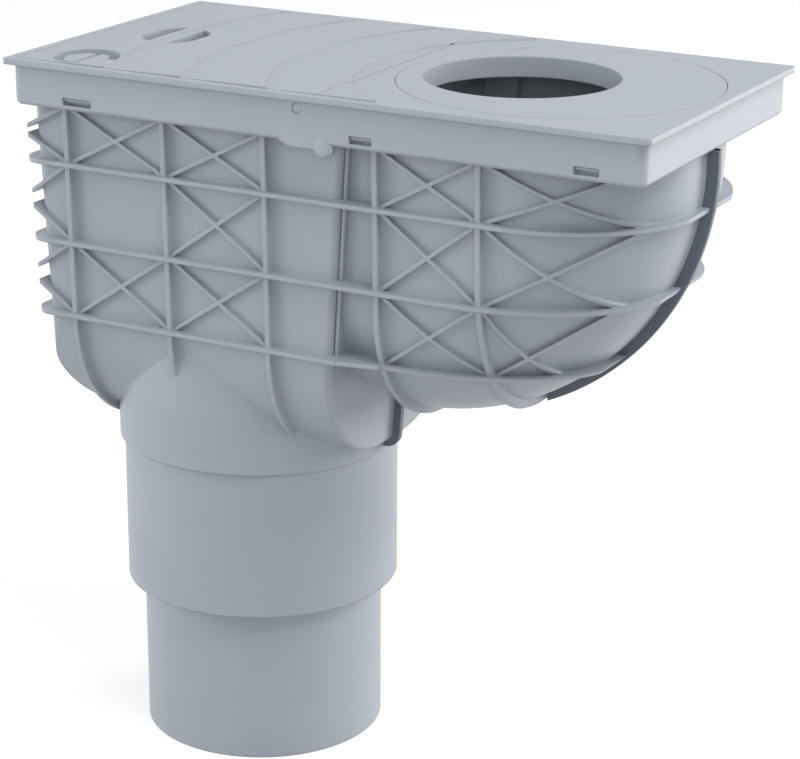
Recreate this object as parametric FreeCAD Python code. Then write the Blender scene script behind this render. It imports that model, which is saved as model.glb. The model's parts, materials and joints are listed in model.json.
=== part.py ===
import FreeCAD, Part
import math
import os

from FreeCAD import Vector

# Rainwater leaf trap in moulded polypropylene, millimetres.
# The origin is the centre of the outlet spigot's lower end.
# X runs from the outlet to the inlet bowl, Z is up.
# Inside this file a place is given as x from the lid's centre, y, and the drop below the lid's border.

# Overall
total_height = 318.6
lid_length = 300.0
lid_width = 155.0
lid_forward = 70.0
wall = 2.8

# Outlet chamber, set in from the lid's edges
chamber_end_inset = 6.0
chamber_side_inset = 11.5
chamber_draft = 1.5
chamber_bottom_drop = 170.5
chamber_lower_radius = 54.0
chamber_end_radius = 36.0
chamber_corner_radius = 5.0
rim_drop = 9.0

# Seam between the chambers, leaning so that the flap falls shut
seam_x = 10.2
seam_lean = 4.55
seam_edge_radius = 2.8
seam_groove_depth = 4.9
seam_ridge_depth = 8.0
partition_slot_depth = 6.6

# Inlet bowl, a quarter turn of its plan outline about a level axis
bowl_axis_x = 25.0
bowl_axis_drop = 27.3
bowl_end_inset = 7.2
bowl_corner_radius = 57.0

# Spigot and neck
spigot_diameter = 110.0
spigot_length = 73.0
collar_diameter = 125.0
collar_top_drop = 178.0
neck_diameter = 129.2
neck_shoulder_drop = 150.0
neck_top_drop = 116.0
neck_top_diameter = 124.0
bore_top_drop = 140.0
collar_step = 1.6

# Rib lattice
level_rib_drops = (45.5, 80.7, 114.0)
level_rib_height = 5.0
level_rib_end_height = 3.3
level_rib_thickness = 2.0
upright_rib_places = (-124.5, -75.0, -25.5, 27.0, 73.5)
upright_rib_height = 3.2
upright_rib_thickness = 2.4
brace_height = 2.0
brace_thickness = 1.8
brace_end_margin = 5.3
keel_height = 5.2
keel_thickness = 3.0
keel_end_x = 72.0
keel_end_height = 2.2
heel_keel_height = 3.6
heel_keel_length = 8.0
heel_keel_radius = 6.5

# Rim flange and snap catches
flange_thickness = 2.5
flange_corner_radius = 8.0
catch_places = (-113.7, 23.8, 122.7)
catch_widths = (14.0, 9.8, 10.2)
catch_top_drop = 15.0
catch_height = 2.7
catch_reach = 1.9

# Lid frame
plate_thickness = 2.5
plate_corner_radius = 2.0
skirt_inset = 3.0
skirt_wall = 2.5
skirt_depth = 20.0
skirt_corner_radius = 4.0
skirt_edge_chamfer = 1.2
border = 4.7
ledge_width = 4.3
ledge_thickness = 2.0
gusset_thickness = 2.0
gusset_spots = (-0.6, -0.3, 0.3, 0.63, 0.9)
gusset_end_spots = (-0.33, 0.33)
split_x = 2.8
split_undercut = 1.6
lobe_drop = 22.2
lobe_length = 20.5
knob_x = 6.5
knob_drop = 21.4
knob_radius = 4.3
knob_chamfer = 1.4
swing_room = 2.0

# Access cover
hinge_x = -5.3
hinge_drop = 6.0
trunnion_diameter = 4.5
lug_radius = 4.2
lug_thickness = 3.0
step_pitch = 35.0
step_first_radius = 86.3
step_count = 4
step_height = 0.6
pull_end_inset = 38.0
pull_length = 34.0
pull_width = 26.0
pull_depth = 9.0
pull_bar_width = 8.0
cup_wall = 1.8
cover_rib_depth = 4.0
cover_rib_spots = (-0.48, 0.0, 0.48)

# Cover lock
lock_end_inset = 29.5
lock_side_inset = 20.9
lock_recess_radius = 14.3
lock_recess_depth = 3.4
lock_hex_across = 19.0
lock_hex_height = 2.6
lock_shank_diameter = 12.0
lock_slot_width = 2.6
lock_slot_depth = 1.6
lock_tongue_length = 21.5
lock_tongue_width = 9.0
lock_tongue_thickness = 1.8

# Inlet disc
disc_x = 76.5
disc_margin = 9.5
disc_thickness = 2.5
inlet_diameter = 82.6
inlet_margin = 9.2
inlet_collar_depth = 9.0
inlet_collar_wall = 2.2
disc_seat_width = 4.5
disc_seat_land = 10.0
hook_count = 4
hook_width = 12.0
hook_wall = 2.0
hook_reach = 1.6
hook_drop = 7.6

# Partition and flap
partition_thickness = 2.4
partition_top_drop = 10.0
window_half_width = 42.0
window_top_drop = 47.0
window_sill_drop = 96.0
window_corner_radius = 8.0
partition_rib_count = 4
partition_rib_size = 1.6
flap_overlap = 4.0
flap_thickness = 2.0
flap_axis_drop = 39.0
flap_axis_back = 4.2
flap_barrel_radius = 3.0
flap_pin_diameter = 4.0
flap_pin_length = 3.0
flap_ear_wall = 2.0
flap_rib_inset = 6.0
flap_rib_width = 3.0

# Leaf basket
basket_wall = 2.0
basket_rim_drop = 106.0
basket_rim_thickness = 2.0
basket_floor_drop = 150.0
basket_ledge = 3.0
basket_room = 2.0
basket_corner_radius = 8.0
basket_slot_width = 5.0
basket_slot_pitch = 12.0
basket_slot_margin = 7.0
handle_top_drop = 26.0
handle_half_width = 50.0
handle_width = 9.0
handle_thickness = 3.5
handle_corner_radius = 18.0

# Clearances
fit_gap = 0.3
seat_gap = 0.2
running_gap = 0.07
slide_gap = 0.3

# Sizes that several pieces share
lid_height = total_height - step_height
half_length = lid_length / 2
half_width = lid_width / 2
skirt_half_length = half_length - skirt_inset
skirt_half_width = half_width - skirt_inset
skirt_inner_length = skirt_half_length - skirt_wall
skirt_inner_width = skirt_half_width - skirt_wall
flange_half_length = skirt_inner_length - fit_gap
flange_half_width = skirt_inner_width - fit_gap
cover_end = half_length - border
cover_half_width = half_width - border
chamber_end = half_length - chamber_end_inset
chamber_half_width = half_width - chamber_side_inset
bowl_reach = half_length - bowl_end_inset - bowl_axis_x
disc_radius = half_width - disc_margin
disc_seat_radius = disc_radius - disc_seat_width
inlet_offset = disc_radius - inlet_diameter / 2 - inlet_margin
seat_drop = plate_thickness + seat_gap
seat_bottom = seat_drop + ledge_thickness
heel_drop = chamber_bottom_drop - chamber_lower_radius
strip_end = upright_rib_places[3] - upright_rib_thickness / 2
cover_swing = math.hypot(split_x - hinge_x, hinge_drop + step_height)
pull_x = pull_end_inset - half_length
lock_x = lock_end_inset - half_length
lock_y = lock_side_inset - half_width
far = 2 * lid_length


def at(x, y, drop):
    return Vector(lid_forward + x, y, lid_height - drop)


def polygon(points):
    return Part.Face(Part.makePolygon(list(points) + [points[0]]))


def block(x0, x1, y0, y1, drop0, drop1):
    size = (x1 - x0, y1 - y0, drop1 - drop0)
    return Part.makeBox(size[0], size[1], size[2], at(x0, y0, drop1))


def post(x, y, radius, drop0, drop1):
    return Part.makeCylinder(radius, drop1 - drop0, at(x, y, drop1))


def across(x, drop, radius, y0, y1):
    return Part.makeCylinder(radius, y1 - y0, at(x, y0, drop), Vector(0, 1, 0))


def rounded_plate(half_x, half_y, radius, drop0, drop1):
    plate = block(-half_x, half_x, -half_y, half_y, drop0, drop1)
    uprights = [edge for edge in plate.Edges if edge.BoundBox.ZLength > (drop1 - drop0) / 2]
    return plate.makeFillet(radius, uprights)


def mirrored(shape):
    return shape.mirror(Vector(0, 0, 0), Vector(0, 1, 0))


def both_sides(shape):
    return shape.fuse(mirrored(shape))


def side_prism(points, half_depth):
    """Extrude a side outline, given as (x, drop), across the part."""
    outline = polygon([at(x, -half_depth, drop) for x, drop in points])
    return outline.extrude(Vector(0, 2 * half_depth, 0))


def end_prism(points):
    """Extrude an end outline, given as (y, drop), along the part."""
    outline = polygon([at(-far / 2, y, drop) for y, drop in points])
    return outline.extrude(Vector(far, 0, 0))


def seam_at(drop):
    return seam_x - math.tan(math.radians(seam_lean)) * (drop - bowl_axis_drop)


def chamber_wall_at(drop, half_top, grow):
    """Half size of the drafted chamber wall at a drop, grown square to the wall."""
    draft = math.radians(chamber_draft)
    return half_top - math.tan(draft) * (drop - rim_drop) + grow / math.cos(draft)


def chamber_inside_at(drop, half_top, radius, grow):
    """Half size of the chamber at a drop, the lower round included."""
    centre_drop = chamber_bottom_drop - radius
    if drop <= centre_drop:
        return chamber_wall_at(drop, half_top, grow)
    below = drop - centre_drop
    grown = radius + grow
    return chamber_wall_at(centre_drop, half_top, grow) - grown + math.sqrt(grown ** 2 - below ** 2)


def lower_round(half_top, radius, sign, grow, place):
    """Wall touch, middle and lower end of the round between a drafted wall and the floor."""
    draft = math.radians(chamber_draft)
    middle = math.radians(45 + chamber_draft / 2)
    centre_drop = chamber_bottom_drop - radius
    grown = radius + grow
    touch_drop = centre_drop + grown * math.sin(draft)
    touch = chamber_wall_at(touch_drop, half_top, grow)
    centre = touch - grown * math.cos(draft)
    return (place(sign * touch, touch_drop),
            place(sign * (centre + grown * math.cos(middle)), centre_drop + grown * math.sin(middle)),
            place(sign * centre, centre_drop + grown))


def corner_waste(grow, side):
    """Material outside the round corner between the chamber's drafted end and one side."""
    draft = math.radians(chamber_draft)
    radius = chamber_corner_radius + grow
    end_normal = Vector(-math.cos(draft), 0, -math.sin(draft))
    side_normal = Vector(0, side * math.cos(draft), -math.sin(draft))
    along = end_normal.cross(side_normal) * side
    along = along * (chamber_bottom_drop / along.Length)
    top = rim_drop - radius
    start = at(-chamber_wall_at(top, chamber_end, grow - radius),
               side * chamber_wall_at(top, chamber_half_width, grow - radius), top)
    spread = 2 * radius
    corner = polygon([start, start + end_normal * spread, start + (end_normal + side_normal) * spread,
                      start + side_normal * spread]).extrude(along)
    return corner.cut(Part.makeCylinder(radius, along.Length, start, along))


def chamber(grow, round_end=False, round_seam=False):
    """Outlet chamber: side and end outlines crossed. grow moves every wall outwards."""
    beyond = grow / math.cos(math.radians(seam_lean))
    bottom = chamber_bottom_drop + grow

    def on_side(x, drop):
        return at(x, -far / 2, drop)

    def on_end(y, drop):
        return at(-far / 2, y, drop)

    start, middle, end = lower_round(chamber_end, chamber_end_radius, -1, grow, on_side)
    left_top = on_side(-chamber_wall_at(rim_drop, chamber_end, grow), rim_drop)
    right_top = on_side(seam_at(rim_drop) + beyond, rim_drop)
    heel = on_side(seam_at(bottom) + beyond, bottom)
    side_edges = [
        Part.makeLine(left_top, start),
        Part.Arc(start, middle, end).toShape(),
        Part.makeLine(end, heel),
        Part.makeLine(heel, right_top),
        Part.makeLine(right_top, left_top),
    ]
    side = Part.Face(Part.Wire(side_edges)).extrude(Vector(0, far, 0))

    front, front_mid, front_end = lower_round(chamber_half_width, chamber_lower_radius, -1, grow, on_end)
    back, back_mid, back_end = lower_round(chamber_half_width, chamber_lower_radius, 1, grow, on_end)
    front_top = on_end(-chamber_wall_at(rim_drop, chamber_half_width, grow), rim_drop)
    back_top = on_end(chamber_wall_at(rim_drop, chamber_half_width, grow), rim_drop)
    end_edges = [
        Part.makeLine(front_top, front),
        Part.Arc(front, front_mid, front_end).toShape(),
        Part.makeLine(front_end, back_end),
        Part.Arc(back_end, back_mid, back).toShape(),
        Part.makeLine(back, back_top),
        Part.makeLine(back_top, front_top),
    ]
    tub = side.common(Part.Face(Part.Wire(end_edges)).extrude(Vector(far, 0, 0)))
    if round_seam:
        tub = tub.makeFillet(seam_edge_radius, seam_edges(tub))
    if round_end:
        tub = tub.cut([corner_waste(grow, side) for side in (-1, 1)])
    return tub


def seam_edges(tub):
    """Edges that run down the chamber's seam side and under its heel."""
    chosen = []
    near = lid_forward + seam_at(chamber_bottom_drop) - wall
    floor = lid_height - chamber_bottom_drop
    for edge in tub.Edges:
        box = edge.BoundBox
        if box.XMin > near and (box.ZLength > wall or box.ZMax < floor + wall):
            chosen.append(edge)
    return chosen


def bowl_outline(grow, place):
    """Edges of the bowl's plan outline, without draft. place turns (reach, y) into a point."""
    half = chamber_wall_at(bowl_axis_drop, chamber_half_width, 0)
    corner_reach = bowl_reach - bowl_corner_radius
    corner_y = half - bowl_corner_radius
    corner = bowl_corner_radius + grow
    slant = corner * math.sqrt(0.5)
    end = bowl_reach + grow
    side = half + grow
    return [
        Part.makeLine(place(0, -side), place(corner_reach, -side)),
        Part.Arc(place(corner_reach, -side), place(corner_reach + slant, -corner_y - slant),
                 place(end, -corner_y)).toShape(),
        Part.makeLine(place(end, -corner_y), place(end, corner_y)),
        Part.Arc(place(end, corner_y), place(corner_reach + slant, corner_y + slant),
                 place(corner_reach, side)).toShape(),
        Part.makeLine(place(corner_reach, side), place(0, side)),
    ], place(0, -side), place(0, side)


def drafted(shape):
    """Tip each half of a shape inwards by the draft, about the bowl's axis."""
    tipped = shape.copy()
    tipped.rotate(at(0, 0, bowl_axis_drop), Vector(1, 0, 0), chamber_draft)
    half = tipped.common(block(-far, far, -far, 0, -far, far))
    return both_sides(half).removeSplitter()


def bowl(grow, from_seam=False):
    """Inlet bowl: upright walls above the axis, a quarter turn below it, and a channel towards the seam."""
    edges, front, back = bowl_outline(grow, lambda reach, y: at(bowl_axis_x + reach, y, bowl_axis_drop))
    plan = Part.Face(Part.Wire(edges + [Part.makeLine(back, front)]))
    quarter = plan.revolve(at(bowl_axis_x, 0, bowl_axis_drop), Vector(0, 1, 0), 90)
    upper = plan.extrude(Vector(0, 0, 2 * bowl_axis_drop))
    channel = cross_section(grow, bowl_axis_x).extrude(Vector(-half_length / 2, 0, 0))
    whole = drafted(quarter.fuse([upper, channel]).removeSplitter())
    top_x = seam_at(rim_drop) if from_seam else strip_end
    low_x = seam_at(far) if from_seam else strip_end
    ahead = [(top_x - grow, rim_drop), (far, rim_drop), (far, far), (low_x - grow, far)]
    return whole.common(side_prism(ahead, far))


def seam_strip(grow, top_drop):
    """Upright channel between the chamber's seam side and the bowl's first upright rib, set in from both."""
    start = seam_at(chamber_bottom_drop) - wall
    section = cross_section(grow, start)
    channel = drafted(section.extrude(Vector(strip_end + 2 * wall - start, 0, 0)))
    return channel.common(block(-far, far, -far, far, top_drop, far))


def cross_section(grow, x):
    """Upright U-shaped face of the bowl's channel at x, carried up past the lid."""
    edges, front, back = bowl_outline(grow, lambda reach, y: at(x, y, bowl_axis_drop + reach))
    front_top = at(x, front.y, -bowl_axis_drop)
    back_top = at(x, back.y, -bowl_axis_drop)
    rim = [Part.makeLine(back, back_top), Part.makeLine(back_top, front_top), Part.makeLine(front_top, front)]
    return Part.Face(Part.Wire(edges + rim))


def lean(shape):
    """Tip an upright shape built at seam_x into the seam's plane."""
    return shape.rotate(at(seam_x, 0, bowl_axis_drop), Vector(0, 1, 0), seam_lean)


def seam_slab(grow, thickness, top_drop):
    section = cross_section(grow, seam_x - thickness / 2)
    slab = drafted(section.extrude(Vector(thickness, 0, 0)))
    return lean(slab.common(block(-far, far, -far, far, top_drop, far)))


def spigot_radii(inset):
    """Half outline of neck, collar and spigot as (radius, drop), moved in by inset."""
    neck = neck_diameter / 2 - inset
    collar = collar_diameter / 2 - inset
    spigot = spigot_diameter / 2 - inset
    step = lid_height - spigot_length
    return neck, collar, spigot, step


def turned(points):
    """Turn a half outline of (radius, drop) about the spigot axis."""
    outline = polygon([Vector(radius, 0, lid_height - drop) for radius, drop in points])
    return outline.revolve(Vector(0, 0, 0), Vector(0, 0, 1), 360)


def spigot_outside():
    neck, collar, spigot, step = spigot_radii(0)
    return turned([
        (0, neck_top_drop),
        (neck_top_diameter / 2, neck_top_drop),
        (neck, neck_shoulder_drop),
        (neck, collar_top_drop - collar_step),
        (collar, collar_top_drop),
        (collar, step),
        (spigot, step),
        (spigot, lid_height),
        (0, lid_height),
    ])


def spigot_bore():
    neck, collar, spigot, step = spigot_radii(wall)
    return turned([
        (0, bore_top_drop),
        (collar, bore_top_drop),
        (collar, step - 2 * wall),
        (spigot, step),
        (spigot, lid_height + wall),
        (0, lid_height + wall),
    ])


def slanted(x0, drop0, x1, drop1, thickness):
    """Thin slab across the part whose side view is a line from one point to the other."""
    run = math.hypot(x1 - x0, drop1 - drop0)
    dx = (drop1 - drop0) / run * thickness / 2
    dz = -(x1 - x0) / run * thickness / 2
    corners = [(x0 + dx, drop0 + dz), (x1 + dx, drop1 + dz), (x1 - dx, drop1 - dz), (x0 - dx, drop0 - dz)]
    return side_prism(corners, half_width)


def braces():
    """Crossed braces in the lattice's cells. The strip by the seam and one cell of the outlet end stay plain."""
    drops = (skirt_depth,) + level_rib_drops
    first, second, third, fourth, fifth = upright_rib_places
    left_end = first - (second - first) / 2
    end_reach = bowl_reach - brace_end_margin

    def end_at(drop):
        return bowl_axis_x + math.sqrt(end_reach ** 2 - (drop - bowl_axis_drop) ** 2)

    slabs = []
    for row in range(len(level_rib_drops)):
        upper = drops[row]
        lower = drops[row + 1]
        spans = [(first, second), (second, third), (fourth, fifth)]
        if row == 1:
            spans.remove((first, second))
        for x0, x1 in spans:
            slabs.append(slanted(x0, upper, x1, lower, brace_thickness))
            slabs.append(slanted(x0, lower, x1, upper, brace_thickness))
        slabs.append(slanted(fifth, upper, end_at(lower), lower, brace_thickness))
        slabs.append(slanted(fifth, lower, end_at(upper), upper, brace_thickness))
        middle = (upper + lower) / 2
        slabs.append(slanted(left_end, middle, first, upper, brace_thickness))
        slabs.append(slanted(left_end, middle, first, lower, brace_thickness))
    return slabs


def bowl_keel():
    """Fin down the middle of the bowl's end, highest at the rim and lower where it meets an upright rib."""
    fall = math.sqrt((bowl_reach + keel_end_height) ** 2 - (keel_end_x - bowl_axis_x) ** 2)
    tip = bowl_axis_x + bowl_reach + keel_height
    centre = (tip ** 2 - keel_end_x ** 2 - fall ** 2) / (2 * (tip - keel_end_x))
    half = keel_thickness / 2
    fin = across(centre, bowl_axis_drop, tip - centre, -half, half)
    return fin.common(block(keel_end_x, far, -half, half, skirt_depth + fit_gap, far))


def heel_keel():
    """Short fin down the chamber's seam side, turning under its heel."""
    half = keel_thickness / 2
    start = seam_at(chamber_bottom_drop) - heel_keel_length
    fin = chamber(heel_keel_height).common(block(start, far, -half, half, heel_drop, far))
    floor = fin.BoundBox.ZMin
    tip = [edge for edge in fin.Edges
           if edge.BoundBox.ZMax < floor + wall and edge.BoundBox.XLength < wall
           and edge.BoundBox.XMin > at(start, 0, 0).x + wall]
    return fin.makeFillet(heel_keel_radius, tip)


def drain_body():
    solid = chamber(0, True, True)
    solid = solid.fuse([bowl(0), seam_strip(-seam_groove_depth, rim_drop), spigot_outside()])

    level_half = level_rib_thickness / 2
    level_slabs = [block(-far, far, -far, far, drop - level_half, drop + level_half)
                   for drop in level_rib_drops]
    fade = across(bowl_axis_x, bowl_axis_drop, bowl_reach + level_rib_end_height, -half_width, half_width)
    level_hull = chamber(level_rib_height, True).fuse(bowl(level_rib_height, True).common(fade))
    ribs = [level_hull.common(slab) for slab in level_slabs]

    upright_half = upright_rib_thickness / 2
    upright_slabs = [block(x - upright_half, x + upright_half, -far, far, rim_drop, far)
                     for x in upright_rib_places]
    upright_chamber = chamber(upright_rib_height)
    upright_bowl = bowl(upright_rib_height, True)
    ribs += [upright_chamber.common(slab) for slab in upright_slabs[:3]]
    ribs += [upright_bowl.common(slab) for slab in upright_slabs[3:]]

    brace_hull = chamber(brace_height).fuse(bowl(brace_height, True))
    ribs += [brace_hull.common(slab) for slab in braces()]
    ribs += [bowl_keel(), heel_keel()]

    flange = rounded_plate(flange_half_length, flange_half_width, flange_corner_radius,
                           rim_drop, rim_drop + flange_thickness)
    catches = [both_sides(catch(x, width)) for x, width in zip(catch_places, catch_widths)]
    solid = solid.fuse(ribs + [flange] + catches)

    inside = chamber(-wall)
    hollow = inside.fuse([bowl(-wall), spigot_bore(), seam_strip(-seam_ridge_depth, 0)])
    shelf = inside.cut(chamber(-wall - basket_ledge))
    shelf = shelf.common(block(-far, -half_length / 4, -far, far, basket_rim_drop, basket_rim_drop + wall))
    slot = seam_slab(-partition_slot_depth, partition_thickness + fit_gap, 0)
    notch = both_sides(block(*hinge_notch()))
    return solid.cut(hollow).fuse(shelf).cut(slot.fuse(notch)).removeSplitter()


def hinge_notch():
    """Box cut out of the rim where the cover's short side swings down."""
    return (hinge_x - lug_radius - swing_room - wall, hinge_x + cover_swing + swing_room,
            chamber_half_width - seam_ridge_depth - wall, half_width, 0, hinge_drop + cover_swing + swing_room / 4)


def catch(x, width):
    """Snap catch that hangs under the rim flange and reaches into a window of the skirt."""
    under = rim_drop + flange_thickness / 2
    bottom = catch_top_drop + catch_height
    root = flange_half_width - 3 * flange_thickness
    face = flange_half_width
    nose = face + fit_gap + catch_reach
    points = [(root, under), (face, under), (face, catch_top_drop), (nose, catch_top_drop),
              (nose, catch_top_drop + catch_height / 4), (face, bottom), (root, bottom)]
    return polygon([at(x - width / 2, y, drop) for y, drop in points]).extrude(Vector(width, 0, 0))


def step_rings(count, room):
    """Fan of shallow steps around the inlet disc, each ring falling outwards, kept within room."""
    rings = []
    under = plate_thickness / 2
    for ring in range(count):
        inner = step_first_radius + ring * step_pitch
        outer = inner + step_pitch
        points = [(inner, -step_height), (outer, 0), (outer, under), (inner, under)]
        outline = polygon([at(disc_x + radius, 0, drop) for radius, drop in points])
        rings.append(outline.revolve(at(disc_x, 0, 0), Vector(0, 0, 1), 360).common(room))
    return rings


def lid_frame():
    frame = rounded_plate(half_length, half_width, plate_corner_radius, 0, plate_thickness)
    skirt = rounded_plate(skirt_half_length, skirt_half_width, skirt_corner_radius, 0, skirt_depth)
    floor = lid_height - skirt_depth
    lower = [edge for edge in skirt.Edges if edge.BoundBox.ZMax < floor + skirt_edge_chamfer]
    skirt = skirt.makeChamfer(skirt_edge_chamfer, lower)
    skirt = skirt.cut(block(-skirt_inner_length, skirt_inner_length, -skirt_inner_width, skirt_inner_width,
                            plate_thickness, skirt_depth + wall))
    panel = block(split_x - wall, disc_x, -cover_half_width, cover_half_width, -wall, plate_thickness)
    frame = frame.fuse([skirt, both_sides(hinge_lobe())] + step_rings(1, panel))
    frame = frame.cut(cover_outline(-fit_gap, split_x + fit_gap, split_undercut))
    frame = frame.cut(post(disc_x, 0, disc_radius + fit_gap, -wall, plate_thickness + wall))

    edge_x = skirt_inner_length + seat_gap
    edge_y = skirt_inner_width + seat_gap
    seat = post(disc_x, 0, disc_radius + disc_seat_land, plate_thickness - seat_gap, seat_bottom)
    seat = seat.common(block(hinge_x + cover_swing + fit_gap, edge_x, -edge_y, edge_y, 0, far))
    seat = seat.cut([post(disc_x, 0, disc_radius + fit_gap, 0, seat_drop),
                     post(disc_x, 0, disc_seat_radius, 0, far)])

    ledge = block(-edge_x, hinge_x - 2 * lug_radius, -edge_y, edge_y, seat_drop, seat_bottom)
    ledge = ledge.cut(block(-skirt_inner_length + ledge_width, 0,
                            -skirt_inner_width + ledge_width, skirt_inner_width - ledge_width, 0, far))
    cup = lock_recess_radius + cup_wall + 2 * fit_gap
    ledge = ledge.cut(post(lock_x, lock_y, cup, 0, far))

    frame = frame.fuse([seat, ledge] + gussets())
    windows = [both_sides(block(x - width / 2 - fit_gap, x + width / 2 + fit_gap,
                                skirt_inner_width - skirt_wall / 2, half_width,
                                catch_top_drop - fit_gap, catch_top_drop + catch_height + fit_gap))
               for x, width in zip(catch_places, catch_widths)]
    bearing = across(hinge_x, hinge_drop, trunnion_diameter / 2 + running_gap, -half_width, half_width)
    swing = cover_swing + fit_gap
    swing_relief = both_sides(block(hinge_x - lug_radius, hinge_x + swing, skirt_inner_width - wall,
                                    cover_half_width + fit_gap, plate_thickness, hinge_drop + swing))
    return frame.cut(windows + [bearing, swing_relief]).removeSplitter()


def gussets():
    """Webs under the plate and the ledge that stand on the body's rim flange."""
    webs = []
    top = seat_drop + ledge_thickness / 2
    reach = 2 * ledge_width / 3
    half = gusset_thickness / 2
    for spot in gusset_spots:
        x = spot * half_length
        webs.append(both_sides(block(x - half, x + half, skirt_inner_width - reach, skirt_inner_width + seat_gap,
                                     top, rim_drop)))
    for end in (-1, 1):
        x0, x1 = sorted((end * (skirt_inner_length - reach), end * (skirt_inner_length + seat_gap)))
        for spot in gusset_end_spots:
            y = spot * half_width
            webs.append(block(x0, x1, y - half, y + half, top, rim_drop))
    return webs


def hinge_lobe():
    """Deepened part of the skirt below the hinge, ending in a round knob."""
    start = knob_x - lobe_length
    rise = lobe_drop - skirt_depth
    inside = skirt_depth - 2 * rise
    outline = [(start, inside), (start, skirt_depth), (start + 2 * rise, lobe_drop),
               (knob_x, lobe_drop), (knob_x, inside)]
    lobe = polygon([at(x, skirt_inner_width, drop) for x, drop in outline]).extrude(Vector(0, skirt_wall, 0))
    knob = across(knob_x, knob_drop, knob_radius, skirt_inner_width, skirt_half_width + knob_chamfer / 2)
    front = [edge for edge in knob.Edges if edge.BoundBox.YMin > skirt_half_width]
    return lobe.fuse(knob.makeChamfer(knob_chamfer, front))


def cover_outline(inset, right_x, undercut):
    """Slab of the cover's plan, with its edge by the inlet panel leaning under by undercut."""
    left = -cover_end + inset
    points = [(left, -wall), (right_x - undercut * wall / plate_thickness, -wall), (right_x, 0),
              (right_x + undercut, plate_thickness), (left, plate_thickness)]
    if undercut == 0:
        points = [(left, 0), (right_x, 0), (right_x, plate_thickness), (left, plate_thickness)]
    return side_prism(points, cover_half_width - inset)


def stadium(x, length, width, drop0, drop1):
    """Upright slab with half-round ends, its length across the part."""
    reach = (length - width) / 2
    core = block(x - width / 2, x + width / 2, -reach, reach, drop0, drop1)
    ends = [post(x, y, width / 2, drop0, drop1) for y in (-reach, reach)]
    return core.fuse(ends)


def access_cover():
    cover = cover_outline(fit_gap, split_x - fit_gap, 0)
    pull_cup = stadium(pull_x, pull_length + 2 * cup_wall, pull_width + 2 * cup_wall, 0, pull_depth + cup_wall)
    lock_cup = post(lock_x, lock_y, lock_recess_radius + cup_wall, 0, lock_recess_depth + cup_wall)
    edge = skirt_inner_width - fit_gap
    lock_cup = lock_cup.common(block(-far, far, -edge, edge, 0, far))
    ribs = []
    for spot in cover_rib_spots:
        y = spot * cover_half_width
        ribs.append(block(pull_x + pull_width, hinge_x - 3 * lug_radius, y - cup_wall / 2, y + cup_wall / 2,
                          plate_thickness / 2, plate_thickness + cover_rib_depth))
    lug_face = skirt_inner_width - ledge_width / 2
    lug_back = lug_face - lug_thickness
    lug = block(hinge_x - lug_radius, hinge_x + lug_radius, lug_back, lug_face, plate_thickness / 2, hinge_drop)
    lug = lug.fuse([across(hinge_x, hinge_drop, lug_radius, lug_back, lug_face),
                    across(hinge_x, hinge_drop, trunnion_diameter / 2, lug_back, skirt_half_width - seat_gap)])
    edge_y = cover_half_width - fit_gap
    top = block(fit_gap - cover_end, split_x - fit_gap, -edge_y, edge_y, -wall, plate_thickness)
    cover = cover.fuse([pull_cup, lock_cup, both_sides(lug)] + ribs + step_rings(step_count, top))

    pull = stadium(pull_x, pull_length, pull_width, -wall, pull_depth)
    bar = block(pull_x - pull_bar_width / 2, pull_x + pull_bar_width / 2, -half_width, half_width,
                -wall, plate_thickness + wall)
    recess = post(lock_x, lock_y, lock_recess_radius, -wall, lock_recess_depth)
    shank_hole = post(lock_x, lock_y, lock_shank_diameter / 2 + running_gap, 0, far)
    return cover.cut([pull.cut(bar), recess, shank_hole]).removeSplitter()


def cover_lock():
    """Slotted hexagonal head on a shank, with a tongue that turns under the frame's ledge."""
    corner = lock_hex_across / math.sqrt(3)
    head_drop = lock_recess_depth - seat_gap
    top = head_drop - lock_hex_height
    turns = [math.radians(angle) for angle in range(0, 360, 60)]
    hexagon = [at(lock_x + corner * math.cos(turn), lock_y + corner * math.sin(turn), head_drop) for turn in turns]
    head = polygon(hexagon).extrude(Vector(0, 0, lock_hex_height))
    slot = block(lock_x - lock_slot_width / 2, lock_x + lock_slot_width / 2, lock_y - corner, lock_y + corner,
                 top - wall, top + lock_slot_depth)
    floor_drop = lock_recess_depth + cup_wall
    tongue_drop = floor_drop + seat_gap
    shank = post(lock_x, lock_y, lock_shank_diameter / 2, head_drop - 0.5, tongue_drop + lock_tongue_thickness)
    tongue = block(lock_x - lock_tongue_width / 2, lock_x + lock_tongue_width / 2,
                   lock_y, lock_y + lock_tongue_length, tongue_drop, tongue_drop + lock_tongue_thickness)
    return head.cut(slot).fuse([shank, tongue]).removeSplitter()


def inlet_disc():
    """Turning disc with the off-centre inlet, held by hooks that reach under the frame's seat."""
    disc = post(disc_x, 0, disc_radius, 0, disc_thickness)
    inlet_x = disc_x - inlet_offset
    collar = post(inlet_x, 0, inlet_diameter / 2 + inlet_collar_wall, 0, inlet_collar_depth)
    outside = math.sqrt((disc_seat_radius - fit_gap) ** 2 - (hook_width / 2) ** 2)
    under = seat_bottom + fit_gap
    points = [(outside - hook_wall, disc_thickness / 2), (outside, disc_thickness / 2), (outside, under),
              (outside + hook_reach, under), (outside, hook_drop), (outside - hook_wall, hook_drop)]
    hook = side_prism([(disc_x + x, drop) for x, drop in points], hook_width / 2)
    hooks = []
    for i in range(hook_count):
        turn = hook.copy()
        turn.rotate(at(disc_x, 0, 0), Vector(0, 0, 1), (i + 0.5) * 360 / hook_count)
        hooks.append(turn)
    disc = disc.fuse([collar] + hooks)
    return disc.cut(post(inlet_x, 0, inlet_diameter / 2, -wall, far)).removeSplitter()


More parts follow.
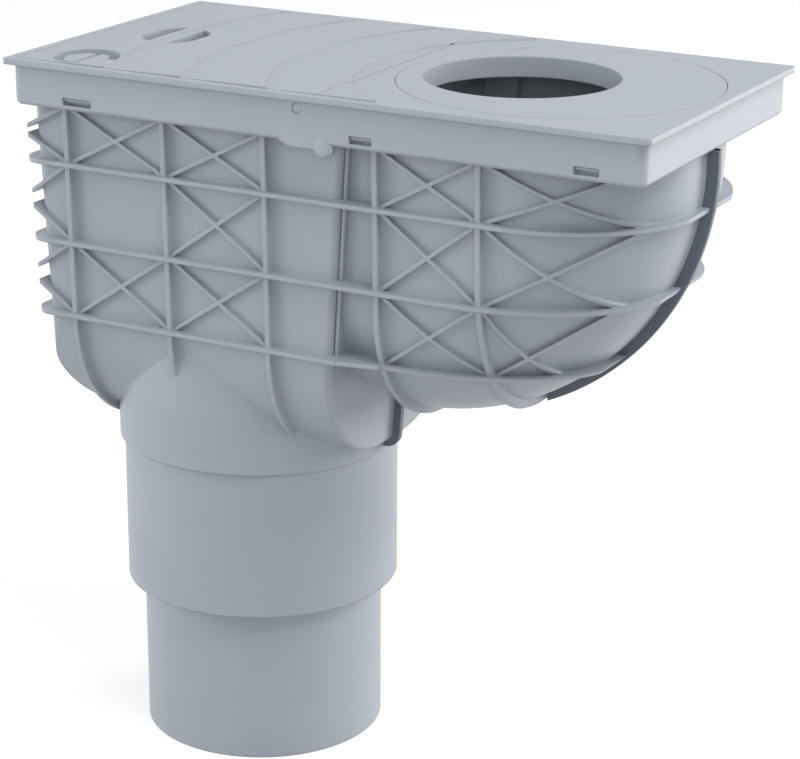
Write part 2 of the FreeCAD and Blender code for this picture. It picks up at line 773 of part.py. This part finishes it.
def flap_frame():
    """Leaning partition with a window, stiffening ribs towards the bowl and two hinge ears."""
    outline = -partition_slot_depth - slide_gap
    section = cross_section(outline, seam_x - partition_thickness / 2)
    plate = drafted(section.extrude(Vector(partition_thickness, 0, 0)))
    plate = plate.common(block(-far, far, -far, far, partition_top_drop, far))
    window = block(seam_x - wall, seam_x + wall, -window_half_width, window_half_width,
                   window_top_drop, window_sill_drop)
    along = [edge for edge in window.Edges if edge.BoundBox.XLength > wall]
    plate = plate.cut(window.makeFillet(window_corner_radius, along))
    face = seam_x + partition_thickness / 2
    back = seam_x - partition_thickness / 2
    half_rib = partition_rib_size / 2
    rib_reach = chamber_wall_at(window_top_drop, chamber_half_width, outline) - 2 * partition_thickness
    pitch = (window_top_drop - partition_top_drop) / (partition_rib_count + 1)
    ribs = []
    for i in range(partition_rib_count):
        drop = partition_top_drop + pitch * (i + 1)
        ribs.append(block(seam_x, face + partition_rib_size, -rib_reach, rib_reach,
                          drop - half_rib, drop + half_rib))
    axis_x = back - flap_axis_back
    ear_inner = window_half_width + flap_overlap + 2 * fit_gap
    ear_radius = flap_pin_diameter / 2 + flap_ear_wall
    ear = block(axis_x, seam_x, ear_inner, ear_inner + flap_pin_length,
                flap_axis_drop - ear_radius, flap_axis_drop + ear_radius)
    ear = ear.fuse(across(axis_x, flap_axis_drop, ear_radius, ear_inner, ear_inner + flap_pin_length))
    plate = plate.fuse([both_sides(ear)] + ribs)
    bore = across(axis_x, flap_axis_drop, flap_pin_diameter / 2 + running_gap, -half_width, half_width)
    return lean(plate.cut(bore)).removeSplitter()


def odour_flap():
    """Gravity flap: a plate on a barrel with a pin at each end."""
    back = seam_x - partition_thickness / 2
    axis_x = back - flap_axis_back
    face = back - fit_gap
    half = window_half_width + flap_overlap
    pin_half = half + 2 * fit_gap + flap_pin_length
    barrel = across(axis_x, flap_axis_drop, flap_barrel_radius, -half, half)
    pins = across(axis_x, flap_axis_drop, flap_pin_diameter / 2, -pin_half, pin_half)
    plate = block(face - flap_thickness, face, -half, half, flap_axis_drop, window_sill_drop + flap_overlap)
    rib_half = half - flap_rib_inset
    rib_drop = window_sill_drop - flap_rib_inset
    stiffener = block(face - 2 * flap_thickness, face, -rib_half, rib_half, rib_drop, rib_drop + flap_rib_width)
    trim = across(axis_x, flap_axis_drop, flap_axis_back - fit_gap, -half, half)
    upper = block(axis_x, back, -half, half, flap_axis_drop - far, flap_axis_drop + flap_barrel_radius / 2)
    plate = plate.cut(upper.cut(trim))
    return lean(barrel.fuse([pins, plate, stiffener])).removeSplitter()


def basket_form(inset):
    """Tapered tub inside the chamber's lower round, moved in by inset."""
    top = basket_rim_drop - basket_rim_thickness
    floor = basket_floor_drop - inset
    gap = -wall - basket_room - inset
    shelf_gap = -wall - basket_ledge - fit_gap - seat_gap - inset
    right = seam_at(basket_floor_drop) - seam_ridge_depth - inset
    left_top = -chamber_wall_at(basket_rim_drop + wall, chamber_end, shelf_gap)
    left_floor = -chamber_inside_at(floor, chamber_end, chamber_end_radius, gap)
    half_top = chamber_wall_at(basket_rim_drop + wall, chamber_half_width, shelf_gap)
    half_floor = chamber_inside_at(floor, chamber_half_width, chamber_lower_radius, gap)
    tub = side_prism([(left_top, top), (right, top), (right, floor), (left_floor, floor)], far)
    tub = tub.common(end_prism([(-half_top, top), (half_top, top), (half_floor, floor), (-half_floor, floor)]))
    uprights = [edge for edge in tub.Edges if edge.BoundBox.ZLength > wall]
    return tub.makeFillet(basket_corner_radius - inset, uprights)


def leaf_basket():
    """Slotted basket that hangs by its rim on the chamber's inner shelf, with a lifting handle."""
    rim_top = basket_rim_drop - basket_rim_thickness
    right_x = seam_at(basket_floor_drop) - seam_ridge_depth
    inside = basket_form(basket_wall)
    rim = chamber(-wall - fit_gap).common(block(-far, right_x, -far, far, rim_top, basket_rim_drop))
    tub = basket_form(0).fuse(rim).cut(inside)
    centre = -lid_forward
    half = basket_slot_width / 2
    slot_half = chamber_half_width / 2
    upper = basket_rim_drop + basket_slot_margin
    lower = basket_floor_drop - basket_wall - basket_slot_margin
    count = int(chamber_lower_radius / basket_slot_pitch)
    slots = []
    for i in range(-count, count + 1):
        x = centre + i * basket_slot_pitch
        slots.append(block(x - half, x + half, -slot_half, slot_half, lower, far))
        slots.append(block(x - half, x + half, -far, far, upper, lower))
    legs = handle_half_width
    grip = handle_width / 2
    t = handle_thickness
    arch = block(centre - grip, centre + grip, -legs, legs, handle_top_drop, basket_rim_drop)
    arch = arch.makeFillet(handle_corner_radius, handle_corners(arch))
    opening = block(centre - handle_width, centre + handle_width, -legs + t, legs - t, handle_top_drop + t, far)
    opening = opening.makeFillet(handle_corner_radius - t, handle_corners(opening))
    foot = block(centre - grip, centre + grip, legs - t, chamber_half_width - wall - basket_ledge,
                 rim_top, basket_rim_drop)
    return tub.cut(slots).fuse([arch.cut(opening), both_sides(foot)]).removeSplitter()


def handle_corners(arch):
    """The two upper edges of a handle's arch."""
    top = arch.BoundBox.ZMax
    return [edge for edge in arch.Edges if edge.BoundBox.ZMin > top - wall and edge.BoundBox.YLength < wall]


pieces = {
    "drain_body": drain_body,
    "lid_frame": lid_frame,
    "access_cover": access_cover,
    "cover_lock": cover_lock,
    "inlet_disc": inlet_disc,
    "flap_frame": flap_frame,
    "odour_flap": odour_flap,
    "leaf_basket": leaf_basket,
}

os.makedirs("parts", exist_ok=True)
for name, build in pieces.items():
    shape = build()
    print(name, "valid", shape.isValid(), "solids", len(shape.Solids), "volume", round(shape.Volume, 1))
    shape.exportStep("parts/" + name + ".step")
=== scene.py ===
import bmesh
import bpy
import json
import math
from mathutils import Matrix, Vector

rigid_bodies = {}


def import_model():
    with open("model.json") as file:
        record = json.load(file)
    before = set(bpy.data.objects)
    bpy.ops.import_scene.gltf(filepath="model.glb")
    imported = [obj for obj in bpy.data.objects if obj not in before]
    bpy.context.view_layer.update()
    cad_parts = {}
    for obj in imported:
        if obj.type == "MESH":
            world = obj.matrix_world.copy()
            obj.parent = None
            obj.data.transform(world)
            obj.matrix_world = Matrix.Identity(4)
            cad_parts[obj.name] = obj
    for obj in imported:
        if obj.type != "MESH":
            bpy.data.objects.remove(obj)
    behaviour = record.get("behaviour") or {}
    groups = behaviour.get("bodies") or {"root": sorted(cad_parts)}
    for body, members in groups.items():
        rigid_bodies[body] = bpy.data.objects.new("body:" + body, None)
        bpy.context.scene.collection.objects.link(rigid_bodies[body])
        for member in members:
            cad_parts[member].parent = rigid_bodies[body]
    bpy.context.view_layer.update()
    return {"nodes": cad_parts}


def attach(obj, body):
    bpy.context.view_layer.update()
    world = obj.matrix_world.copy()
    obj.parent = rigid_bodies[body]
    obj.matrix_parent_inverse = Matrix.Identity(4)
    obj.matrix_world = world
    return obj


for leftOver in list(bpy.data.objects):  # the startup scene's own objects
    bpy.data.objects.remove(leftOver)

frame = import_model()
nodes = frame["nodes"]
print("leaf trap frame loaded,", len(nodes), "mouldings")


# small helpers for node trees

def addNode(tree, kind, spot, **settings):
    node = tree.nodes.new(kind)
    node.location = spot
    for key, value in settings.items():
        setattr(node, key, value)
    return node


def setInputs(node, values):
    for socket, value in values.items():
        node.inputs[socket].default_value = value


def addRange(tree, spot, limits):
    node = addNode(tree, "ShaderNodeMapRange", spot)
    setInputs(node, {"From Min": limits[0], "From Max": limits[1]})
    return node


def wire(tree, *pairs):
    for source, target in pairs:
        tree.links.new(source, target)


def newGroup(name, inputs, outputs):
    group = bpy.data.node_groups.new(name, "ShaderNodeTree")
    for label, kind in inputs:
        group.interface.new_socket(label, in_out="INPUT", socket_type=kind)
    for label, kind in outputs:
        group.interface.new_socket(label, in_out="OUTPUT", socket_type=kind)
    start = addNode(group, "NodeGroupInput", (-900, 0))
    end = addNode(group, "NodeGroupOutput", (700, 0))
    return group, start, end


def placeGroup(tree, group, spot, values):
    node = addNode(tree, "ShaderNodeGroup", spot, node_tree=group)
    setInputs(node, values)
    return node


# moulded grain: spark-eroded skin of the tool, slow drift of the pigment and of the gloss

grainMake = {
    "skinDetail": 3.0,
    "skinRoughness": 0.6,
    "driftDetail": 4.0,
    "driftRoughness": 0.55,
    "driftRange": (0.3, 0.7),
    "speckRange": (0.0, 0.8),
    "driftShare": 0.75,  # of the tone
    "skinShare": 0.25,
    "speckShare": 0.35,  # of the height
}


def buildMouldGrain():
    group, start, end = newGroup(
        "mouldGrain",
        [("Light", "NodeSocketColor"), ("Deep", "NodeSocketColor"),
         ("SkinSize", "NodeSocketFloat"), ("DriftSize", "NodeSocketFloat"),
         ("GlossLow", "NodeSocketFloat"), ("GlossHigh", "NodeSocketFloat")],
        [("Colour", "NodeSocketColor"), ("Roughness", "NodeSocketFloat"), ("Height", "NodeSocketFloat")])
    place = addNode(group, "ShaderNodeTexCoord", (-900, -300))
    skin = addNode(group, "ShaderNodeTexNoise", (-600, -300))
    setInputs(skin, {"Detail": grainMake["skinDetail"], "Roughness": grainMake["skinRoughness"]})
    drift = addNode(group, "ShaderNodeTexNoise", (-600, 100))
    setInputs(drift, {"Detail": grainMake["driftDetail"], "Roughness": grainMake["driftRoughness"]})
    speck = addNode(group, "ShaderNodeTexVoronoi", (-600, -600))
    driftRange = addRange(group, (-350, 100), grainMake["driftRange"])
    speckRange = addRange(group, (-350, -600), grainMake["speckRange"])
    skinPart = addNode(group, "ShaderNodeMath", (-350, -120), operation="MULTIPLY")
    setInputs(skinPart, {1: grainMake["skinShare"]})
    toneSum = addNode(group, "ShaderNodeMath", (-120, 100), operation="MULTIPLY_ADD")
    setInputs(toneSum, {1: grainMake["driftShare"]})
    tone = addNode(group, "ShaderNodeMix", (100, 200), data_type="RGBA")
    gloss = addNode(group, "ShaderNodeMapRange", (100, -100))
    height = addNode(group, "ShaderNodeMath", (100, -400), operation="MULTIPLY_ADD")
    setInputs(height, {1: grainMake["speckShare"]})
    wire(group,
         (place.outputs["Object"], skin.inputs["Vector"]),
         (place.outputs["Object"], drift.inputs["Vector"]),
         (place.outputs["Object"], speck.inputs["Vector"]),
         (start.outputs["SkinSize"], skin.inputs["Scale"]),
         (start.outputs["SkinSize"], speck.inputs["Scale"]),
         (start.outputs["DriftSize"], drift.inputs["Scale"]),
         (drift.outputs["Fac"], driftRange.inputs["Value"]),
         (speck.outputs["Distance"], speckRange.inputs["Value"]),
         (skin.outputs["Fac"], skinPart.inputs[0]),
         (driftRange.outputs["Result"], toneSum.inputs[0]),
         (skinPart.outputs[0], toneSum.inputs[2]),
         (toneSum.outputs[0], tone.inputs["Factor"]),
         (start.outputs["Deep"], tone.inputs["A"]),
         (start.outputs["Light"], tone.inputs["B"]),
         (skin.outputs["Fac"], gloss.inputs["Value"]),
         (start.outputs["GlossLow"], gloss.inputs["To Min"]),
         (start.outputs["GlossHigh"], gloss.inputs["To Max"]),
         (speckRange.outputs["Result"], height.inputs[0]),
         (skin.outputs["Fac"], height.inputs[2]),
         (tone.outputs["Result"], end.inputs["Colour"]),
         (gloss.outputs["Result"], end.inputs["Roughness"]),
         (height.outputs[0], end.inputs["Height"]))
    return group


# edge rub: where the moulding's corners are rubbed paler by handling

rubMake = {
    "patchSize": 90.0,
    "patchDetail": 5.0,
    "patchRange": (0.35, 0.65),
    "reach": 0.0009,
    "samples": 6,
    "cornerRange": (0.995, 0.8),  # how far the rounded normal agrees with the true one
}


def buildEdgeRub():
    group, start, end = newGroup(
        "edgeRub",
        [("Colour", "NodeSocketColor"), ("Rubbed", "NodeSocketColor"), ("Amount", "NodeSocketFloat")],
        [("Colour", "NodeSocketColor"), ("Normal", "NodeSocketVector")])
    place = addNode(group, "ShaderNodeTexCoord", (-900, -400))
    patch = addNode(group, "ShaderNodeTexNoise", (-650, -400))
    setInputs(patch, {"Scale": rubMake["patchSize"], "Detail": rubMake["patchDetail"]})
    patchRange = addRange(group, (-420, -400), rubMake["patchRange"])
    soft = addNode(group, "ShaderNodeBevel", (-650, -100), samples=rubMake["samples"])
    setInputs(soft, {"Radius": rubMake["reach"]})
    flat = addNode(group, "ShaderNodeNewGeometry", (-650, 200))
    turn = addNode(group, "ShaderNodeVectorMath", (-420, 100), operation="DOT_PRODUCT")
    edge = addRange(group, (-200, 100), rubMake["cornerRange"])
    worn = addNode(group, "ShaderNodeMath", (0, 0), operation="MULTIPLY")
    amount = addNode(group, "ShaderNodeMath", (200, 0), operation="MULTIPLY")
    mix = addNode(group, "ShaderNodeMix", (420, 150), data_type="RGBA")
    wire(group,
         (place.outputs["Object"], patch.inputs["Vector"]),
         (patch.outputs["Fac"], patchRange.inputs["Value"]),
         (soft.outputs["Normal"], turn.inputs[0]),
         (flat.outputs["Normal"], turn.inputs[1]),
         (turn.outputs["Value"], edge.inputs["Value"]),
         (edge.outputs["Result"], worn.inputs[0]),
         (patchRange.outputs["Result"], worn.inputs[1]),
         (worn.outputs[0], amount.inputs[0]),
         (start.outputs["Amount"], amount.inputs[1]),
         (amount.outputs[0], mix.inputs["Factor"]),
         (start.outputs["Colour"], mix.inputs["A"]),
         (start.outputs["Rubbed"], mix.inputs["B"]),
         (mix.outputs["Result"], end.inputs["Colour"]),
         (soft.outputs["Normal"], end.inputs["Normal"]))
    return group


mouldGrain = buildMouldGrain()
edgeRub = buildEdgeRub()
print("finish groups built")

# what all the plastics share

plasticMake = {"ior": 1.49, "skinDepth": 0.00006}


def plasticMaterial(name, look):
    material = bpy.data.materials.new(name)
    material.use_nodes = True
    tree = material.node_tree
    tree.nodes.clear()
    out = addNode(tree, "ShaderNodeOutputMaterial", (900, 0))
    shader = addNode(tree, "ShaderNodeBsdfPrincipled", (600, 0))
    setInputs(shader, {"IOR": plasticMake["ior"], "Specular IOR Level": look["shine"]})
    grain = placeGroup(tree, mouldGrain, (-200, 100), {
        "Light": look["light"], "Deep": look["deep"],
        "SkinSize": look["skinSize"], "DriftSize": look["driftSize"],
        "GlossLow": look["glossLow"], "GlossHigh": look["glossHigh"]})
    rub = placeGroup(tree, edgeRub, (100, 200), {"Rubbed": look["rubbed"], "Amount": look["rubAmount"]})
    bump = addNode(tree, "ShaderNodeBump", (350, -250))
    setInputs(bump, {"Strength": look["skinStrength"], "Distance": plasticMake["skinDepth"]})
    wire(tree,
         (grain.outputs["Colour"], rub.inputs["Colour"]),
         (rub.outputs["Colour"], shader.inputs["Base Color"]),
         (grain.outputs["Roughness"], shader.inputs["Roughness"]),
         (grain.outputs["Height"], bump.inputs["Height"]),
         (rub.outputs["Normal"], bump.inputs["Normal"]),
         (bump.outputs["Normal"], shader.inputs["Normal"]),
         (shader.outputs["BSDF"], out.inputs["Surface"]))
    return material


# drain body: grey polypropylene, satin

bodyLook = {
    "light": (0.405, 0.435, 0.475, 1),
    "deep": (0.365, 0.395, 0.435, 1),
    "rubbed": (0.52, 0.55, 0.59, 1),
    "rubAmount": 0.35,
    "skinSize": 2200.0,
    "driftSize": 16.0,
    "skinStrength": 0.35,
    "glossLow": 0.36,
    "glossHigh": 0.5,
    "shine": 0.45,
}
bodyPlastic = plasticMaterial("bodyPlastic", bodyLook)

# lid frame, access cover, lock and inlet disc: the same plastic with a finer, paler skin

lidLook = {
    "light": (0.43, 0.46, 0.5, 1),
    "deep": (0.395, 0.425, 0.465, 1),
    "rubbed": (0.56, 0.59, 0.63, 1),
    "rubAmount": 0.4,
    "skinSize": 3000.0,
    "driftSize": 12.0,
    "skinStrength": 0.4,
    "glossLow": 0.42,
    "glossHigh": 0.57,
    "shine": 0.35,
}
lidPlastic = plasticMaterial("lidPlastic", lidLook)

# basket, flap and flap frame

innerLook = {
    "light": (0.42, 0.45, 0.49, 1),
    "deep": (0.38, 0.41, 0.45, 1),
    "rubbed": (0.48, 0.51, 0.55, 1),
    "rubAmount": 0.35,
    "skinSize": 2200.0,
    "driftSize": 18.0,
    "skinStrength": 0.3,
    "glossLow": 0.36,
    "glossHigh": 0.48,
    "shine": 0.45,
}
innerPlastic = plasticMaterial("innerPlastic", innerLook)

# keels: painted shade, the body's grey darkened along the middle of the bowl and under the heel; the
# moulding there is the body's own grey

keelShadeLook = {
    "light": (0.135, 0.157, 0.188, 1),
    "deep": (0.11, 0.128, 0.155, 1),
    "rubbed": (0.16, 0.18, 0.21, 1),
    "rubAmount": 0.3,
    "skinSize": 2200.0,
    "driftSize": 20.0,
    "skinStrength": 0.3,
    "glossLow": 0.4,
    "glossHigh": 0.52,
    "shine": 0.4,
}
keelPaintedShade = plasticMaterial("keelPaintedShade", keelShadeLook)

finishes = {
    "drain_body": bodyPlastic,
    "lid_frame": lidPlastic,
    "access_cover": lidPlastic,
    "cover_lock": lidPlastic,
    "inlet_disc": lidPlastic,
    "flap_frame": innerPlastic,
    "odour_flap": innerPlastic,
    "leaf_basket": innerPlastic,
}
for nodeName, finish in finishes.items():
    mesh = nodes[nodeName].data
    mesh.materials.clear()
    mesh.materials.append(finish)
print("mouldings finished")

# keels of the drain body, which get the painted shade: their faces lie near the middle plane, outside the
# bowl or under the heel

keels = {
    "halfThickness": 0.0015,
    "sideSlack": 0.0002,
    "bowlFrom": 0.1447,  # the last upright rib
    "bowlAxis": (0.095, 0.2907),
    "bowlReach": 0.1178,
    "rootSlack": 0.0003,
    "heelFrom": 0.06,
    "heelTo": 0.08,
    "heelSpan": (0.1432, 0.17),
}


def onKeel(spot):
    if abs(spot.y) > keels["halfThickness"] + keels["sideSlack"]:
        return False
    across = spot.x - keels["bowlAxis"][0]
    below = spot.z - keels["bowlAxis"][1]
    outside = math.hypot(across, below) > keels["bowlReach"] + keels["rootSlack"]
    heelLow, heelHigh = keels["heelSpan"]
    underHeel = keels["heelFrom"] < spot.x < keels["heelTo"] and heelLow < spot.z < heelHigh
    return (outside and spot.x > keels["bowlFrom"]) or underHeel


def paintKeelShade(mesh):
    # second slot: the darker painted-shade material for the keel faces
    mesh.materials.append(keelPaintedShade)
    keelShadeFaces = [face for face in mesh.polygons if onKeel(face.center)]
    for face in keelShadeFaces:
        face.material_index = 1
    print("keel faces darkened:", len(keelShadeFaces))


paintKeelShade(nodes["drain_body"].data)


# added ribs: rings of four corners joined into a closed bar with rounded edges, which rides on the drain

def joinRings(shape, rings):
    loops = [[shape.verts.new(corner) for corner in ring] for ring in rings]
    for near, far in zip(loops, loops[1:]):
        for i in range(len(near)):
            shape.faces.new((near[i], near[i - 1], far[i - 1], far[i]))
    shape.faces.new(loops[0])
    shape.faces.new(loops[-1])


def mirrored(rings):
    return [[(x, -y, z) for x, y, z in ring] for ring in rings]


def buildRib(name, bars, finish, rounding):
    shape = bmesh.new()
    for rings in bars:
        joinRings(shape, rings)
    bmesh.ops.recalc_face_normals(shape, faces=shape.faces)
    mesh = bpy.data.meshes.new(name)
    shape.to_mesh(mesh)
    shape.free()
    mesh.materials.append(finish)
    rib = bpy.data.objects.new(name, mesh)
    bpy.context.scene.collection.objects.link(rib)
    soften = rib.modifiers.new("edgeRound", "BEVEL")
    soften.width = rounding
    soften.segments = 2
    soften.limit_method = "ANGLE"
    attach(rib, "drain")


# blade over the bowl's keel, finished in the keel's painted shade: keeps its full height down to the last
# upright rib

keelBlade = {
    "top": 0.2977,
    "topHeight": 0.0052,
    "endHeight": 0.0046,
    "root": 0.0006,  # how deep it sits in the bowl's wall
    "skin": 0.00006,  # how far it stands out beside the moulded keel
    "steps": 48,
    "rounding": 0.0003,
}


def buildKeelBlade():
    axisX, axisZ = keels["bowlAxis"]
    reach = keels["bowlReach"]
    topHeight, endHeight = keelBlade["topHeight"], keelBlade["endHeight"]
    deep = reach - keelBlade["root"]
    lastTurn = math.acos((keels["bowlFrom"] - axisX) / (reach + endHeight))
    profile = [(axisX + reach + topHeight, keelBlade["top"], axisX + deep, keelBlade["top"])]
    for step in range(keelBlade["steps"] + 1):
        share = step / keelBlade["steps"]
        turn = lastTurn * share
        out = reach + topHeight + (endHeight - topHeight) * share
        innerX = max(axisX + deep * math.cos(turn), keels["bowlFrom"])
        profile.append((axisX + out * math.cos(turn), axisZ - out * math.sin(turn),
                        innerX, axisZ - deep * math.sin(turn)))
    half = keels["halfThickness"] + keelBlade["skin"]
    rings = [((outerX, -half, outerZ), (outerX, half, outerZ),
              (innerX, half, innerZ), (innerX, -half, innerZ))
             for outerX, outerZ, innerX, innerZ in profile]
    buildRib("keelBlade", [rings], keelPaintedShade, keelBlade["rounding"])


buildKeelBlade()
print("keel blade built")

# bead along the chamber's corner, beside the seam strip, on both sides

seamBead = {
    "stations": ((0.2975, -0.0604), (0.229, -0.0586), (0.214, -0.0559), (0.2045, -0.0523)),  # height, back
    "levelFrom": 0.29,
    "cornerX": 0.0801,
    "cornerLean": 0.0787,
    "faceY": -0.0634,
    "faceLean": 0.0287,
    "slit": 0.00035,
    "width": 0.0017,
    "rounding": 0.0003,
}


def buildSeamBead():
    rings = []
    for height, backY in seamBead["stations"]:
        drop = seamBead["levelFrom"] - height
        left = seamBead["cornerX"] - drop * seamBead["cornerLean"] + seamBead["slit"]
        right = left + seamBead["width"]
        faceY = seamBead["faceY"] + drop * seamBead["faceLean"]
        rings.append(((left, faceY, height), (right, faceY, height),
                      (right, backY, height), (left, backY, height)))
    buildRib("seamBead", [rings, mirrored(rings)], bodyPlastic, seamBead["rounding"])


buildSeamBead()

# bridge that carries the lowest level rib on from the chamber to the bowl, on both sides

ribBridge = {
    "stations": ((0.0772, -0.0683, -0.06), (0.097, -0.0645, -0.058)),  # place, front, back
    "bottom": 0.20305,
    "top": 0.20497,
    "rounding": 0.0003,
}


def buildRibBridge():
    low, high = ribBridge["bottom"], ribBridge["top"]
    rings = [((x, front, low), (x, front, high), (x, back, high), (x, back, low))
             for x, front, back in ribBridge["stations"]]
    buildRib("ribBridge", [rings, mirrored(rings)], bodyPlastic, ribBridge["rounding"])


buildRibBridge()
print("seam ribs built")


# rays that see the white background: camera, glossy and transmission

def whiteRays(tree, spot):
    x, y = spot
    ray = addNode(tree, "ShaderNodeLightPath", spot)
    seen = addNode(tree, "ShaderNodeMath", (x + 200, y), operation="ADD", use_clamp=True)
    seenToo = addNode(tree, "ShaderNodeMath", (x + 400, y), operation="ADD", use_clamp=True)
    wire(tree,
         (ray.outputs["Is Camera Ray"], seen.inputs[0]),
         (ray.outputs["Is Glossy Ray"], seen.inputs[1]),
         (seen.outputs[0], seenToo.inputs[0]),
         (ray.outputs["Is Transmission Ray"], seenToo.inputs[1]))
    return seenToo.outputs[0]


# floor: pale paper, lifted to white where the camera sees it, with the object's shadow on it

floorLook = {"half": 6.0, "colour": (0.55, 0.55, 0.55, 1), "cameraLift": 0.6}


def buildFloor():
    half = floorLook["half"]
    corners = [(-half, -half, 0), (half, -half, 0), (half, half, 0), (-half, half, 0)]
    mesh = bpy.data.meshes.new("studioFloor")
    mesh.from_pydata(corners, [], [(0, 1, 2, 3)])
    floor = bpy.data.objects.new("studioFloor", mesh)
    bpy.context.scene.collection.objects.link(floor)
    material = bpy.data.materials.new("floorPaper")
    material.use_nodes = True
    tree = material.node_tree
    tree.nodes.clear()
    out = addNode(tree, "ShaderNodeOutputMaterial", (600, 0))
    paper = addNode(tree, "ShaderNodeBsdfDiffuse", (0, 0))
    setInputs(paper, {"Color": floorLook["colour"]})
    lift = addNode(tree, "ShaderNodeMath", (-40, -200), operation="MULTIPLY")
    setInputs(lift, {1: floorLook["cameraLift"]})
    glow = addNode(tree, "ShaderNodeEmission", (150, -200))
    total = addNode(tree, "ShaderNodeAddShader", (380, 0))
    wire(tree,
         (whiteRays(tree, (-640, -200)), lift.inputs[0]),
         (lift.outputs[0], glow.inputs["Strength"]),
         (paper.outputs[0], total.inputs[0]),
         (glow.outputs[0], total.inputs[1]),
         (total.outputs[0], out.inputs["Surface"]))
    mesh.materials.append(material)


buildFloor()

# studio: even sky and four soft boxes
# they stand behind the bowl's end, beside the outlet's end, over the lid and, much weaker, in front
# each box: direction from the object, distance, side, the value that a facing white sheet would show, tint

studio = {
    "sky": (0.88, 0.93, 1.0, 1),
    "skyStrength": 0.5,
    "backdrop": (1, 1, 1, 1),
    "backdropStrength": 1.0,
    "aim": (0.07, 0.0, 0.2),
    "boxes": {
        "bowlBox": ((0.62, 0.77, 0.12), 2.3, 1.2, 0.75, (1.0, 0.985, 0.96)),
        "outletBox": ((-0.88, -0.45, 0.2), 2.3, 1.2, 0.45, (0.97, 0.985, 1.0)),
        "lidBox": ((0.55, -0.2, 0.8), 2.4, 1.2, 0.47, (1.0, 0.985, 0.96)),
        "frontBox": ((0.5, -0.81, 0.3), 2.6, 0.9, 0.11, (0.97, 0.985, 1.0)),
    },
}


def buildSky():
    world = bpy.data.worlds.new("studioSky")
    bpy.context.scene.world = world
    world.use_nodes = True
    tree = world.node_tree
    tree.nodes.clear()
    out = addNode(tree, "ShaderNodeOutputWorld", (500, 0))
    light = addNode(tree, "ShaderNodeBackground", (0, 100))
    setInputs(light, {"Color": studio["sky"], "Strength": studio["skyStrength"]})
    white = addNode(tree, "ShaderNodeBackground", (0, -100))
    setInputs(white, {"Color": studio["backdrop"], "Strength": studio["backdropStrength"]})
    mix = addNode(tree, "ShaderNodeMixShader", (250, 0))
    wire(tree,
         (whiteRays(tree, (-600, 300)), mix.inputs[0]),
         (light.outputs[0], mix.inputs[1]),
         (white.outputs[0], mix.inputs[2]),
         (mix.outputs[0], out.inputs["Surface"]))


def softBox(name, direction, distance, side, value, tint):
    lamp = bpy.data.lights.new(name, "AREA")
    lamp.size = side
    lamp.color = tint
    lamp.energy = value * math.pi ** 2 * distance ** 2
    box = bpy.data.objects.new(name, lamp)
    outwards = Vector(direction).normalized()
    box.location = Vector(studio["aim"]) + outwards * distance
    box.rotation_euler = (-outwards).to_track_quat("-Z", "Y").to_euler()
    bpy.context.scene.collection.objects.link(box)


buildSky()
for boxName, boxLook in studio["boxes"].items():
    softBox(boxName, *boxLook)
print("studio lit")

# camera at the photograph's angle, for an image of 800 x 759

shot = {
    "eye": (0.58071, -0.93543, 0.53924),
    "target": (0.07213, 0.0, 0.17587),
    "roll": 0.33,
    "lens": 114.47,
    "sensor": 36.0,
    "clip": (0.01, 100),
}


def buildCamera():
    lens = bpy.data.cameras.new("photoCamera")
    lens.lens = shot["lens"]
    lens.sensor_fit = "HORIZONTAL"
    lens.sensor_width = shot["sensor"]
    lens.clip_start, lens.clip_end = shot["clip"]
    camera = bpy.data.objects.new("photoCamera", lens)
    bpy.context.scene.collection.objects.link(camera)
    eye = Vector(shot["eye"])
    aim = (Vector(shot["target"]) - eye).to_track_quat("-Z", "Y").to_matrix().to_4x4()
    roll = Matrix.Rotation(math.radians(shot["roll"]), 4, "Z")
    camera.matrix_world = Matrix.Translation(eye) @ aim @ roll
    bpy.context.scene.camera = camera


buildCamera()
bpy.context.scene.view_settings.view_transform = "Standard"
print("camera set")
